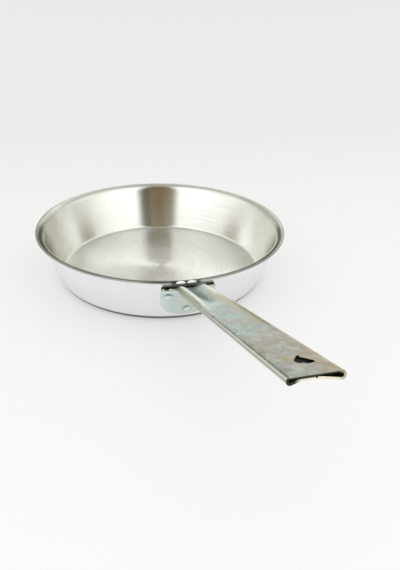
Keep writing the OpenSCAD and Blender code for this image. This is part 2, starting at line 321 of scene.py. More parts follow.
print("lower edge of the plate", plate_low(0), "to", plate_low(PLATE_W / 2))

# %% The bend at the plate's top
centre_r = wall_r(flare_z) + FLARE_R * math.cos(lean)
centre_z = flare_z - FLARE_R * math.sin(lean)


def on_flare(x, turn):
    """A point of the bend, from how far the sheet has turned outward there."""
    r = centre_r - FLARE_R * math.cos(turn)
    return x, -math.sqrt(r * r - x * x), centre_z + FLARE_R * math.sin(turn)


def plate_top(x):
    """Turn of the bend at which the plate ends, less at the ears' rounded corners."""
    x = abs(x) - (PLATE_W / 2 - EAR_R)
    if x <= 0:
        return flare_end
    top = LIP_TOP - PLATE_DOWN - EAR_R + math.sqrt(max(0, EAR_R ** 2 - x * x))
    return min(flare_end, math.asin((top - centre_z) / FLARE_R))


print("top edge of the plate", on_flare(0, flare_end))

# %% How the lines of the root leave the plate
ROOT_X, FAN, RIDGE_LIFT, LIFT_FADE = 15, math.radians(62), math.radians(26), 5


def root_x(u):
    """Distance to the side at which a line of the handle starts on the plate."""
    if u <= U_RIDGE:
        return RIDGE_X * u / U_RIDGE
    return mix(RIDGE_X, ROOT_X, (u - U_RIDGE) / (U_EDGE - U_RIDGE))


def smooth_curve(p, start, q, end, reach, t):
    """A point of the curve from p to q that leaves along start and arrives along end."""
    t2, t3 = t * t, t ** 3
    return tuple((2 * t3 - 3 * t2 + 1) * p[k] + (t3 - 2 * t2 + t) * reach * start[k]
                 + (3 * t2 - 2 * t3) * q[k] + (t3 - t2) * reach * end[k] for k in range(3))


print("the root leaves the plate up to", root_x(U_EDGE), "from the middle")

# %% The root between bend and neck


def root_point(u, t, side):
    """A point of the curve from the bend, at t = 0, to the neck, at t = 1."""
    p = on_flare(side * root_x(u), flare_end)
    q = handle_point(u, NECK_START, side)
    fan = FAN * ease((u - U_RIDGE) / (U_EDGE - U_RIDGE))
    if u <= U_RIDGE:
        lift = (1 - math.cos(math.pi * u / U_RIDGE)) / 2
    else:
        lift = 1 - ease((u - U_RIDGE) / LIFT_FADE)
    lay = flare_end - RIDGE_LIFT * lift
    level = math.hypot(p[0], p[1])
    outward = (p[0] / level, p[1] / level)
    start = (math.cos(fan) * math.sin(lay) * outward[0] - math.sin(fan) * side,
             math.cos(fan) * math.sin(lay) * outward[1], math.cos(fan) * math.cos(lay))
    along = (0, -math.cos(RISE), math.sin(RISE))
    return smooth_curve(p, start, q, along, math.dist(p, q), t)


print("root on the ridge", root_point(U_RIDGE, 0.5, RIGHT))

# %% [markdown]
# One grid for the whole sheet
#
# If plate and handle were two meshes, a seam would show where they meet, and the real sheet has
# none. So every line along the handle goes on through the root and down the plate, and all of
# them together are one grid. Beside it the plate is wider than the root, so two narrow grids
# add the ears. Each shares a line with the big grid, and the doubles are joined.

# %% Lines of the grid
TROUGH_LINES, TURN_STEP, FLAP_STEP = 12, 0.5, 0.25
U_LIST = [U_RIDGE * k / TROUGH_LINES for k in range(TROUGH_LINES)]
U_LIST += [U_RIDGE + TURN_STEP * k for k in range(round((U_UNDER - U_RIDGE) / TURN_STEP))]
U_LIST += [U_UNDER + FLAP_STEP * k for k in range(round((U_EDGE - U_UNDER) / FLAP_STEP) + 1)]
ROOT_STEPS, PLATE_ROWS, EAR_STEPS = 24, 30, 24
NECK_STEP, NECK_ROWS, FLAT_START, FLAT_ROWS = 1.5, 53, 94.1, 40
stations = [NECK_START + NECK_STEP * k for k in range(NECK_ROWS)]
stations += [mix(FLAT_START, TIP, k / FLAT_ROWS) for k in range(FLAT_ROWS + 1)]


def plate_line(x):
    """Points of the plate at x, from its lower edge up to the end of the bend."""
    low, top, half = plate_low(x), plate_top(x), PLATE_ROWS // 2
    points = []
    for k in range(half + 1):
        z = mix(low, flare_z, k / half)
        points.append((x, -math.sqrt(wall_r(z) ** 2 - x * x), z))
    return points + [on_flare(x, mix(lean, top, k / half)) for k in range(1, half + 1)]


def sheet_line(u, side):
    """Points of one line from the plate's lower edge through the root to the tip."""
    line = plate_line(side * root_x(u))
    line += [root_point(u, t / ROOT_STEPS, side) for t in range(1, ROOT_STEPS)]
    return line + [handle_point(u, station, side) for station in stations]


print("lines on each half", len(U_LIST), "points on each", len(sheet_line(0, RIGHT)))

# %% Join the lines into faces
points, faces = [], []


def add_grid(lines):
    """Add the points of lines of equal length, and a face between each four."""
    rows, start = len(lines[0]), len(points)
    for c in range(len(lines) - 1):
        for k in range(rows - 1):
            a = start + c * rows + k
            faces.append((a, a + rows, a + rows + 1, a + 1))
    for line in lines:
        points.extend(line)


add_grid([sheet_line(u, LEFT) for u in reversed(U_LIST)]
         + [sheet_line(u, RIGHT) for u in U_LIST[1:]])
ear_x = [mix(ROOT_X, PLATE_W / 2, math.sin(math.pi / 2 * k / EAR_STEPS))
         for k in range(EAR_STEPS + 1)]
add_grid([plate_line(-x) for x in reversed(ear_x)])
add_grid([plate_line(x) for x in ear_x])
print("points of the sheet", len(points), "faces", len(faces))

# %% [markdown]
# Give the sheet its thickness
#
# The grid is the middle of the sheet, and it has no thickness yet. The Solidify modifier adds
# half of the millimetre on each side and closes the edges. An offset of nought keeps the
# middle where it is. The normals are made consistent before it, not after.

# %% Solidify the sheet
handle = new_piece("folded_sheet", points, [], faces)
tidy_normals()
solid = handle.modifiers.new("thickness", "SOLIDIFY")
solid.thickness = THICK * MM
solid.offset = 0
bpy.ops.object.modifier_apply(modifier="thickness")
print("faces of the sheet", len(handle.data.polygons))

# %% [markdown]
# Cutters for the holes
#
# A punch makes the pear-shaped hole for hanging the real pan up, and a drill makes the bores
# for the rivets. The Boolean modifier does the same with closed solids, so each hole gets one.
# The pear is an arc round each of two circles, and goes through the upper sheet only, because
# nothing is seen through the real hole. A small round hole in the flap under it takes a nail.

# %% Cutters for hanging
# The pear's two circles, the way between them, and the place of the big one
BIG_R, SMALL_R, HOLE_LEN, HOLE_X, HOLE_BACK = 4.3, 1.5, 5.4, 2.4, 15.2
NAIL_R = 1.4
BIG_STEPS, SMALL_STEPS, NAIL_STEPS = 48, 24, 32
# Heights over the handle's top face: the pear's lower end, and how far cutters stand out
PEAR_DEEP, CUT_PAST = -1.07, 10
hole_station = TIP - HOLE_BACK
touch = math.acos((BIG_R - SMALL_R) / HOLE_LEN)


def hanging_cutter(name, ring, low, high):
    """A closed prism over the handle, from points round the middle of the hanging hole."""
    n = len(ring)
    solid_points = [over_handle(HOLE_X + x, hole_station - back, height)
                    for height in (low, high) for x, back in ring]
    solid_faces = [tuple(range(n)), tuple(range(n, 2 * n))]
    solid_faces += [(k, (k + 1) % n, n + (k + 1) % n, n + k) for k in range(n)]
    cutter = new_piece(name, solid_points, [], solid_faces)
    tidy_normals()
    return cutter


big_turns = [mix(touch, 2 * math.pi - touch, k / BIG_STEPS) for k in range(BIG_STEPS + 1)]
small_turns = [mix(-touch, touch, k / SMALL_STEPS) for k in range(SMALL_STEPS + 1)]
pear = [(BIG_R * math.sin(a), BIG_R * math.cos(a)) for a in big_turns]
pear += [(SMALL_R * math.sin(a), HOLE_LEN + SMALL_R * math.cos(a)) for a in small_turns]
nail_turns = [2 * math.pi * k / NAIL_STEPS for k in range(NAIL_STEPS)]
nail = [(NAIL_R * math.sin(a), NAIL_R * math.cos(a)) for a in nail_turns]
hanging = [hanging_cutter("pear_cutter", pear, PEAR_DEEP, CUT_PAST),
           hanging_cutter("nail_cutter", nail, -CUT_PAST, 0)]
print("points round the pear", len(pear))

# %% Cutters for the rivets
# Each rivet's distance to the side and height, as seen from the handle
RIVETS = {"left": (-13.8, 25.4), "right": (13.8, 25.4), "lower": (0, 12.4)}
BORE_R, BORE_LEN, BORE_STEPS = 1.85, 12, 48
bores = []
for x, z in RIVETS.values():
    r = wall_r(z, 0)
    way = math.asin(x / r) - math.pi / 2
    bpy.ops.mesh.primitive_cylinder_add(vertices=BORE_STEPS, radius=BORE_R * MM,
                                        depth=BORE_LEN * MM)
    bore = bpy.context.object
    bore.rotation_euler = (0, math.pi / 2 + lean, way)
    bore.location = (r * math.cos(way) * MM, r * math.sin(way) * MM, z * MM)
    bores.append(bore)
print("bores", len(bores))

# %% [markdown]
# Cut the holes and smooth the faces
#
# The cutters are no part of the pan, so they are deleted once they have cut. Smooth shading
# would also round off the cut edges, and flat shading would show the facets of the grid. Smooth
# by angle keeps every edge of more than 40 degrees sharp and smooths the rest.

# %% Cut, smooth and place
SHARP_FROM = math.radians(40)
for piece, cutters in ((handle, hanging + bores), (pan, bores)):
    select_only(piece)
    for cutter in cutters:
        cut = piece.modifiers.new("cut", "BOOLEAN")
        cut.operation = "DIFFERENCE"
        cut.solver = "EXACT"
        cut.object = cutter
        bpy.ops.object.modifier_apply(modifier="cut")
    bpy.ops.object.shade_smooth_by_angle(angle=SHARP_FROM)
    print(piece.name, "faces", len(piece.data.polygons))
for cutter in hanging + bores:
    bpy.data.objects.remove(cutter)
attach(handle, "root")
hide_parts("handle")

# %% [markdown]
# Helpers for finishes
#
# A finish is a net of nodes. Wired by hand, each node takes a dozen clicks, and in code it would
# take as many lines. These helpers add one node each, wire it and return its result, so that a
# finish reads like a formula. They add to the finish that was started last. A share is a
# number from nought to one that says how much of a colour lies at a place. Places are in
# millimetres here too.

# %% Start a finish and add nodes


def new_material(name, kind="BsdfPrincipled"):
    """An empty material with a shader, its nodes and its links."""
    material = bpy.data.materials.new(name)
    material.use_nodes = True
    nodes, links = material.node_tree.nodes, material.node_tree.links
    nodes.clear()
    output = nodes.new("ShaderNodeOutputMaterial")
    shader = nodes.new("ShaderNode" + kind)
    links.new(shader.outputs[0], output.inputs["Surface"])
    return material, nodes, links, shader


def add_node(kind, operation=None, **values):
    """A node, with a value or a link for each input. n0 is the first input, n1 the next."""
    node = nodes.new("ShaderNode" + kind)
    if operation:
        node.operation = operation
    for key, value in values.items():
        numbered = key[0] == "n" and key[1:].isdigit()
        socket = node.inputs[int(key[1:]) if numbered else key]
        if isinstance(value, bpy.types.NodeSocket):
            links.new(value, socket)
        else:
            socket.default_value = value
    return node


# %% Numbers and shares


def calc(operation, a, b=0.0, c=0.0):
    """The result of a sum, by the name of Blender's Math operation."""
    return add_node("Math", operation, n0=a, n1=b, n2=c).outputs[0]


def remap(value, low, high, to_low=0.0, to_high=1.0):
    """A value spread from one range to another, held at its ends."""
    limits = {"From Min": low, "From Max": high, "To Min": to_low, "To Max": to_high}
    return add_node("MapRange", Value=value, **limits).outputs[0]


def near(value, middle, full, none, most=1.0):
    """A share that is at its most up to full away from the middle, and nought from none on."""
    away = calc("ABSOLUTE", calc("SUBTRACT", value, middle))
    return remap(away, full, none, most, 0.0)


def times(first, *others):
    """The product of shares: where all of them hold."""
    for other in others:
        first = calc("MULTIPLY", first, other)
    return first


def greatest(first, *others):
    """The greatest of shares: where any of them holds."""
    for other in others:
        first = calc("MAXIMUM", first, other)
    return first


def left_over(share):
    """What a share leaves of one."""
    return calc("SUBTRACT", 1.0, share)


# %% Places, directions and colours


def vector(operation, a, b=(0, 0, 0)):
    """A vector made from one or two others."""
    return add_node("VectorMath", operation, n0=a, n1=b).outputs["Vector"]


def measure(operation, a, b=(0, 0, 0)):
    """A number made from one or two vectors, such as a length or a distance."""
    return add_node("VectorMath", operation, n0=a, n1=b).outputs["Value"]


def place_in_mm():
    """Where the surface is, in millimetres."""
    metres = add_node("TexCoord").outputs["Object"]
    return add_node("VectorMath", "SCALE", n0=metres, Scale=1 / MM).outputs["Vector"]


def noise_at(place, per_metre, detail=2.0):
    """Cloudy noise with about that many patches in a metre."""
    return add_node("TexNoise", Vector=place, Scale=per_metre * MM, Detail=detail).outputs["Fac"]


def mix_colour(share, first, second):
    """The second colour laid over the first, by a share."""
    first, second = [c if isinstance(c, bpy.types.NodeSocket) else (*c, 1)
                     for c in (first, second)]
    return add_node("MixRGB", Fac=share, Color1=first, Color2=second).outputs[0]


# %% [markdown]
# Turned aluminium: the rings
#
# The lathe's tool leaves rings of about a tenth of a millimetre, far too fine to model. They
# show as bands of light that run across them, from the middle of the floor up the wall. A bump
# map of such rings would flicker in the picture. So the normal itself is tilted, across the
# rings and never along them, by a noise that depends only on the place along the outline. The
# shader's anisotropy does the same for the rings that are finer still.

# %% The way across the rings
material, nodes, links, shader = new_material("turned_aluminium")
place = place_in_mm()
facing = add_node("NewGeometry").outputs["Normal"]
pan_x, pan_y, pan_z = add_node("SeparateXYZ", n0=place).outputs
flat = vector("MULTIPLY", place, (1, 1, 0))
radius = measure("LENGTH", flat)
along_outline = calc("ADD", radius, pan_z)
around = vector("CROSS_PRODUCT", (0, 0, 1), flat)
across_rings = vector("NORMALIZE", vector("CROSS_PRODUCT", facing, around))
print("nodes for places and directions", len(nodes))

# %% Tilt the normal by the rings
FINE_RINGS, BROAD_RINGS, BROAD_TILT = 9000, 700, 0.06
FLOOR_TILT, WALL_TILT = 1.8, 0.85


def ring_tilt(per_metre, strength):
    """How far rings of one fineness tilt the surface at each place along the outline."""
    noise = add_node("TexNoise", Scale=per_metre * MM, Detail=1.0)
    noise.noise_dimensions = "1D"
    links.new(along_outline, noise.inputs["W"])
    return times(calc("SUBTRACT", noise.outputs["Fac"], 0.5), strength)


# The floor was turned with a coarser feed than the wall, so its rings tilt more
fine_tilt = remap(pan_z, 2.5, 6.0, FLOOR_TILT, WALL_TILT)
tilt = calc("ADD", ring_tilt(FINE_RINGS, fine_tilt), ring_tilt(BROAD_RINGS, BROAD_TILT))
tilt_vector = add_node("VectorMath", "SCALE", n0=across_rings, Scale=tilt).outputs["Vector"]
links.new(vector("NORMALIZE", vector("ADD", facing, tilt_vector)), shader.inputs["Normal"])
tangent = add_node("Tangent")
tangent.direction_type = "RADIAL"
tangent.axis = "Z"
links.new(tangent.outputs[0], shader.inputs["Tangent"])
shader.inputs["Roughness"].default_value = 0.2
shader.inputs["Anisotropic"].default_value = 0.7
shader.inputs["Anisotropic Rotation"].default_value = 0.25
print("nodes for the rings", len(nodes))

# %% [markdown]
# Turned aluminium: the colour
#
# Bare aluminium has one colour, and yet a used pan isn't the same all over. The inside is a
# little darker and warmer than the outside, and darker and greyer in cloudy patches at both
# sides. The raw edge of the lip is grey. On the near side a broader dark band along the lip is a
# painted dark reflection, and the rim of the base is painted darker still, as the shadow where it
# meets the table. All this could be painted on an image, but an image has to be kept with the
# script. So each mark is a share with soft edges, worked out from the place on the pan, and its
# colour is laid over the last one like a glaze.

# %% Inside, outside and darker patches at the sides
INSIDE_PALE, INSIDE_DARK = (0.91, 0.91, 0.885), (0.87, 0.865, 0.83)
OUTSIDE_PALE, OUTSIDE_DARK = (0.93, 0.925, 0.94), (0.9, 0.895, 0.91)
SIDE_PATCH_GREY = (0.42, 0.42, 0.35)
outside = remap(measure("DOT_PRODUCT", facing, vector("NORMALIZE", flat)), 0.0, 0.2)
cloudy = noise_at(place, 30, 4.0)
clouds = remap(cloudy, 0.4, 0.7)
both_sides = calc("ADD", remap(pan_x, -60, -94, 0.0, 0.85), remap(pan_x, 82, 98, 0.0, 0.6))
# Darker, greyer cloudy patches at both sides of the pan
side_patches = times(both_sides, remap(cloudy, 0.35, 0.65, 0.7, 1.0))
inside = mix_colour(side_patches, mix_colour(clouds, INSIDE_PALE, INSIDE_DARK), SIDE_PATCH_GREY)
metal = mix_colour(outside, inside, mix_colour(clouds, OUTSIDE_PALE, OUTSIDE_DARK))
print("nodes of the aluminium", len(nodes))

# %% The grey edge of the lip, its painted dark reflection and the painted shadow at the base
LIP_GREY, CONTACT_SHADOW_GREY = (0.2, 0.2, 0.17), (0.07, 0.08, 0.07)
in_front = remap(pan_y, -50, -75)
edge_grey_and_painted_reflection = times(remap(radius, 100.5, 100.9), remap(pan_z, 40.0, 40.4))
# On the near side a broader band along the lip is painted dark: a painted dark reflection
edge_grey_and_painted_reflection = greatest(edge_grey_and_painted_reflection, times(in_front, remap(pan_z, 39.7, 40.1)))
metal = mix_colour(times(edge_grey_and_painted_reflection, 0.8), metal, LIP_GREY)
# Painted shadow: the foot of the outer wall is darkened where it meets the table
painted_contact_shadow = times(remap(pan_z, 3.2, 4.6, 0.95, 0.0), outside)
metal = mix_colour(painted_contact_shadow, metal, CONTACT_SHADOW_GREY)
print("nodes of the aluminium", len(nodes))

# %% [markdown]
# Turned aluminium: the neck in the lip's edge
#
# The polished edge of the real lip mirrors the neck under it: its dark green trough, and its two
# ridges as bright ovals. Rings that are tilted by a noise can't show such a sharp image. So it
# is laid on as colour, which stays in place when the view moves, and the ovals aren't metallic,
# because a metal would only show the light in front of it.

# %% Two pale ovals on dark green
NECK_GREEN, OVAL_WHITE = (0.06, 0.08, 0.05), (1.0, 1.0, 0.98)
OVAL_PLACES, OVAL_Z = (-7.3, 0.3), 40.1
OVAL_HALF_W, OVAL_HALF_H, SQUARENESS = 3.4, 1.0, 2.5


def oval_share(oval_x):
    """A share that is one inside a slightly squared oval on the lip's edge."""
    off_x = calc("ABSOLUTE", calc("DIVIDE", calc("SUBTRACT", pan_x, oval_x), OVAL_HALF_W))
    off_z = calc("ABSOLUTE", calc("DIVIDE", calc("SUBTRACT", pan_z, OVAL_Z), OVAL_HALF_H))
    away = calc("ADD", calc("POWER", off_x, SQUARENESS), calc("POWER", off_z, SQUARENESS))
    return remap(away, 0.7, 1.1, 1.0, 0.0)


by_neck = times(near(pan_x, -3.5, 9, 11), remap(radius, 100.0, 100.4), in_front)
metal = mix_colour(times(by_neck, 0.9), metal, NECK_GREEN)
ovals = times(greatest(*[oval_share(x) for x in OVAL_PLACES]), by_neck)
metal = mix_colour(ovals, metal, OVAL_WHITE)
links.new(metal, shader.inputs["Base Color"])
links.new(left_over(ovals), shader.inputs["Metallic"])
pan.data.materials.append(material)
print("nodes of the aluminium", len(nodes))

# %% [markdown]
# Plated steel: the handle's own directions
#
# Zinc plate is pale and blue-green where it is clean, and turns grey-green and tan where hands
# and heat reach it. All marks on a handle follow the handle: they run along it or across it, or
# lie at its edges. So the place is first turned into the handle's own directions: the station
# along it, the distance to the side and the height over its top face.

# %% Place on the handle
ALONG = (0, -math.cos(RISE), math.sin(RISE))
UP = (0, math.sin(RISE), math.cos(RISE))
HANDLE_START = (0, -RIM_R, LIP_TOP - START_DOWN)
material, nodes, links, shader = new_material("zinc_plate")
place = place_in_mm()
facing = add_node("NewGeometry").outputs["Normal"]
from_start = vector("SUBTRACT", place, HANDLE_START)
station = measure("DOT_PRODUCT", from_start, ALONG)
height_up = measure("DOT_PRODUCT", from_start, UP)
to_side, _, from_table = add_node("SeparateXYZ", n0=place).outputs
on_sheet = add_node("CombineXYZ", X=to_side, Y=station).outputs[0]
facing_up = measure("DOT_PRODUCT", facing, UP)
cloudy = noise_at(on_sheet, 45, 3.0)
blotchy = noise_at(on_sheet, 160, 3.0)
print("nodes for the place on the handle", len(nodes))

# %% The age of the plating
CLEAN_BLUE, CLEAN_GREEN = (0.72, 0.84, 0.83), (0.54, 0.71, 0.68)
USED_GREY, WORN_TAN, RUBBED_PALE = (0.60, 0.61, 0.56), (0.62, 0.5, 0.36), (0.9, 0.92, 0.84)
age = remap(station, -10, 190, 0.0, 0.92)
age = calc("MULTIPLY_ADD", to_side, 0.014, age)
age = calc("MULTIPLY_ADD", calc("SUBTRACT", cloudy, 0.5), 1.6, age)
plate = mix_colour(remap(age, 0.05, 0.35), CLEAN_BLUE, CLEAN_GREEN)
plate = mix_colour(remap(age, 0.3, 0.6), plate, USED_GREY)
plate = mix_colour(remap(age, 0.72, 1.1), plate, WORN_TAN)
plate = mix_colour(remap(blotchy, 0.45, 0.7, 0.0, 0.6), plate, RUBBED_PALE)
print("nodes of the plating", len(nodes))

# %% Specks and scuffs
SPECK_GREEN, SCUFF_BROWN = (0.36, 0.42, 0.36), (0.3, 0.29, 0.2)
specks = times(remap(noise_at(on_sheet, 300, 3.0), 0.5, 0.68, 0.0, 0.5),
               remap(station, 0, 30, 0.15, 1.0))
plate = mix_colour(specks, plate, SPECK_GREEN)
scuffs = times(remap(noise_at(on_sheet, 700, 2.0), 0.52, 0.6),
               near(to_side, -9.2, 0.8, 2.5, 0.8), near(station, 142, 20, 36))
plate = mix_colour(scuffs, plate, SCUFF_BROWN)
print("nodes of the plating", len(nodes))

# %% [markdown]
# Plated steel: the neck
#
# The neck is the part that was shaped most, so its plating varies most. The trough is painted
# dark green as its shade, the left ridge carries a painted white highlight and the right one a
# painted cream highlight. Its sides are painted olive as shade, by the way their faces look, and
# get paler towards the tip. A dark line runs along the left crease, and an ochre band with a
# darker core along the right shoulder. A yellow stain lies beside the hanging hole. Separate
# materials on groups of faces would leave hard borders between them, so all of it is one
# material, and each mark fades out over a stretch of the station or of the distance to the side.

# %% Painted shade in the trough and painted highlights on the ridges
TROUGH_SHADE_GREEN, RIDGE_HIGHLIGHT_WHITE, CREAM_HIGHLIGHT = (0.18, 0.29, 0.23), (1.0, 1.0, 0.93), (1.0, 0.97, 0.84)
on_neck = remap(station, -6, 0)
# Painted shade: the trough is darkened where it sinks
trough_shade = times(remap(height_up, -1.2, -2.8),
                  remap(calc("ADD", station, to_side), 28, 50, 1.0, 0.0), on_neck)
plate = mix_colour(times(trough_shade, 0.75), plate, TROUGH_SHADE_GREEN)
# Painted highlight along the left ridge
ridge_highlight = times(near(to_side, -RIDGE_X, 0.4, 1.6, 0.9), remap(station, 50, 80, 1.0, 0.0), on_neck)
plate = mix_colour(ridge_highlight, plate, RIDGE_HIGHLIGHT_WHITE)
# Painted cream highlight right of the trough
right_highlight = times(remap(to_side, 3.5, 7), remap(station, 20, 80, 0.9, 0.0), on_neck)
plate = mix_colour(right_highlight, plate, CREAM_HIGHLIGHT)
print("nodes of the plating", len(nodes))

# %% Painted shade on the sides, lines and the stain
SIDE_SHADE_OLIVE, SIDE_SHADE_PALE, CREASE_DARK = (0.33, 0.34, 0.22), (0.62, 0.62, 0.52), (0.12, 0.12, 0.08)
OCHRE, OCHRE_CORE, STAIN_YELLOW = (0.66, 0.62, 0.42), (0.34, 0.33, 0.18), (0.62, 0.58, 0.28)
STAIN_PLACE = (-4.5, 170, 0)
facing_side = calc("ABSOLUTE", measure("DOT_PRODUCT", facing, (1, 0, 0)))
# Painted shade: faces that look sideways turn olive, paler towards the tip
side_shade = mix_colour(remap(station, 60, 120), SIDE_SHADE_OLIVE, SIDE_SHADE_PALE)
plate = mix_colour(remap(facing_side, 0.5, 0.8, 0.0, 0.85), plate, side_shade)
crease = times(near(to_side, -10.9, 0.2, 0.5), remap(station, 60, 90))
plate = mix_colour(times(crease, 0.6), plate, CREASE_DARK)
ochre = times(remap(to_side, 3, 7, 0.0, 0.8), remap(to_side, 10.2, 10.8, 1.0, 0.0),
              near(station, 78, 30, 45))
plate = mix_colour(ochre, plate, OCHRE)
core = times(near(to_side, 9.2, 0.5, 1.8, 0.85), near(station, 95, 18, 35))
plate = mix_colour(core, plate, OCHRE_CORE)
from_stain = calc("MULTIPLY_ADD", calc("SUBTRACT", blotchy, 0.5), 6,
                  measure("DISTANCE", on_sheet, STAIN_PLACE))
plate = mix_colour(remap(from_stain, 0.8, 3.2, 0.7, 0.0), plate, STAIN_YELLOW)
print("nodes of the plating", len(nodes))

# %% [markdown]
# Plated steel: round the plate
#
# The upper face of the plate's bend looks at the pan from close by. Deep in that gap it is
# painted nearly black as shade, less so on the open right side, and the outer rim of the bend is
# dull. Under the bend the plate is painted grey-green as shade, and so is the left shoulder of
# the neck. Light alone would darken the gap too little, because the metal around it glints. The
# direction in which a face looks tells the upper side of the bend from the lower one, so no faces
# have to be picked out.

# %% Painted shade behind the bend and under it
GAP_SHADE, BEND_SHADE_GREEN = (0.05, 0.055, 0.03), (0.40, 0.43, 0.31)
DULL_RIM, DULL_CUT = (0.55, 0.57, 0.45), (0.5, 0.53, 0.4)
from_axis = measure("LENGTH", vector("MULTIPLY", place, (1, 1, 0)))
faces_pan = remap(facing_up, 0.1, 0.35)
right_gap = times(remap(to_side, 3, 6, 0.0, 0.85), remap(to_side, 12, 13.5, 1.0, 0.0))
# Painted shade: the upper face of the bend is painted nearly black deep in the gap
gap_shade = times(remap(from_axis, 97.5, 96.6, 0.0, 0.9), faces_pan, left_over(right_gap))
plate = mix_colour(gap_shade, plate, GAP_SHADE)
# Painted shade: grey-green under the bend and on the left shoulder of the neck
shade_under_bend = times(remap(from_table, 30, 32, 0.0, 0.6), remap(facing_up, 0.3, 0.0),
                   remap(station, 0, -3))
shoulder_shade = times(remap(to_side, -8.8, -9.6, 0.0, 0.85), remap(station, 50, 85, 1.0, 0.0),
                 remap(station, -2, 2))
plate = mix_colour(greatest(shade_under_bend, shoulder_shade), plate, BEND_SHADE_GREEN)
print("nodes of the plating", len(nodes))

# %% The dull rim of the bend
on_plate = remap(station, 0, -2)
sheet_end = (0, -math.sin(flare_end), math.cos(flare_end))
bend_rim = times(remap(from_axis, 96.6, 97.4), faces_pan, on_plate)
plate = mix_colour(times(bend_rim, 0.9), plate, DULL_RIM)
bend_cut = times(remap(measure("DOT_PRODUCT", facing, sheet_end), 0.92, 0.96),
                 remap(from_table, 31.8, 32.4), on_plate)
plate = mix_colour(bend_cut, plate, DULL_CUT)
print("nodes of the plating", len(nodes))

# %% [markdown]
# Plated steel: cut edges
#
# A cut edge shows bare steel. In the hanging hole it is cream, and painted bright as a
# highlight, and the flap seen through the hole is painted black as shade. At the tip the edge of
# the upper sheet is dark, and so is the left fold. The flaps and the right fold are paler. A cut
# face is found by its direction: in the hole it looks sideways, and at the tip along the handle.
# Little light gets into the folds, but a shiny inside would still glint, so it is painted black
# as shade and made rough.

# %% Edges in the hole and at the tip
HOLE_HIGHLIGHT_CREAM, HOLE_SHADE_BLACK = (1.0, 0.96, 0.7), (0.01, 0.01, 0.008)
TIP_DARK, FLAP_CREAM, FOLD_TAN = (0.035, 0.03, 0.015), (0.8, 0.77, 0.6), (0.42, 0.38, 0.27)
HOLE_MIDDLE = (HOLE_X, hole_station - 1.3, 0)
upright = remap(calc("ABSOLUTE", facing_up), 0.3, 0.6, 1.0, 0.0)
hole_edges = times(upright, remap(measure("DISTANCE", on_sheet, HOLE_MIDDLE), 7.5, 8.5, 1.0, 0.0))
# Painted shade: the flap seen through the hanging hole is painted black
shade_in_hole = times(hole_edges, remap(height_up, -1.1, -1.0, 1.0, 0.0))
# Painted highlight: the cut edge in the hanging hole is painted cream and bright
hole_edge_highlight = calc("SUBTRACT", hole_edges, shade_in_hole)
plate = mix_colour(hole_edge_highlight, plate, HOLE_HIGHLIGHT_CREAM)
plate = mix_colour(shade_in_hole, plate, HOLE_SHADE_BLACK)
at_tip = remap(measure("DOT_PRODUCT", facing, ALONG), 0.75, 0.9)
plate = mix_colour(times(at_tip, remap(height_up, -0.2, -0.55, 0.3, 1.0)), plate, TIP_DARK)
flap_cut = times(remap(height_up, -1.2, -1.6), remap(to_side, -8.5, -6), at_tip)
plate = mix_colour(flap_cut, plate, FLAP_CREAM)
plate = mix_colour(times(remap(to_side, 8.8, 10.8, 0.0, 0.9), at_tip), plate, FOLD_TAN)
print("nodes of the plating", len(nodes))

# %% Painted shade inside the folds, and a darker ring round the rivets
FOLD_BLACK, RIVET_RING_DARK = (0.004, 0.004, 0.003), (0.25, 0.28, 0.14)
GAP_UNDER_TOP = 1.08
# Inside a fold the sheet looks down at the middle of the gap, and the flap looks up at it
looks_at_gap = times(facing_up, calc("ADD", height_up, GAP_UNDER_TOP))
in_fold = times(remap(looks_at_gap, -0.06, 0.0, 1.0, 0.0), remap(station, 70, 95))
plate = mix_colour(in_fold, plate, FOLD_BLACK)
# A darker ring round each rivet head
for x, z in RIVETS.values():
    r = wall_r(z)
    rivet_middle = (x, -math.sqrt(r * r - x * x), z)
    from_rivet = measure("DISTANCE", place, rivet_middle)
    plate = mix_colour(remap(from_rivet, 2.9, 4.2, 0.35, 0.0), plate, RIVET_RING_DARK)
links.new(plate, shader.inputs["Base Color"])
print("nodes of the plating", len(nodes))

# %% [markdown]
# Plated steel: scratches and shine
#
# Scratches run along the handle and rubbing marks across it. Both come from one noise that is
# stretched in one direction or the other. They are a little rougher than the plate and lie a
# little lower. The painted highlights, and the dull places, which scatter more light, are less
# metallic.

# %% Roughness, relief and metal
SCRATCH_STRETCH, RUB_STRETCH = (3000, 90, 0), (120, 1500, 0)
PLATE_METAL, LESS_METAL = 0.62, -0.4


def scratches_along(stretch):
    """Thin marks, from a noise with that many patches in a metre, across and along."""
    return remap(noise_at(vector("MULTIPLY", on_sheet, stretch), 1, 2.0), 0.62, 0.72)


scratches = calc("ADD", scratches_along(SCRATCH_STRETCH), scratches_along(RUB_STRETCH))
rough = calc("ADD", remap(blotchy, 0.3, 0.7, 0.24, 0.4), times(scratches, 0.08))
links.new(greatest(rough, in_fold), shader.inputs["Roughness"])
relief = calc("ADD", times(scratches, -0.15), cloudy)
bump = add_node("Bump", Height=relief, Strength=0.25, Distance=0.6 * MM)
links.new(bump.outputs[0], shader.inputs["Normal"])
# Places with painted highlights, and dull places, lose some of their shine
highlights_and_dull = greatest(right_highlight, ridge_highlight, hole_edge_highlight, bend_cut, bend_rim)
shine = calc("MULTIPLY_ADD", highlights_and_dull, LESS_METAL, PLATE_METAL)
links.new(times(shine, left_over(in_fold)), shader.inputs["Metallic"])
handle.data.materials.append(material)
print("nodes of the plating", len(nodes))

# %% [markdown]
# Rivets
#
# The rivets' own shape is right in the imported model, so its three nodes stay and only get a
# finish. A tool upsets each head and leaves it a little uneven. The dents are too shallow to
# model, so a bump gives them. The heads have the plate's pale green, and their upper side is
# painted dark as shade.

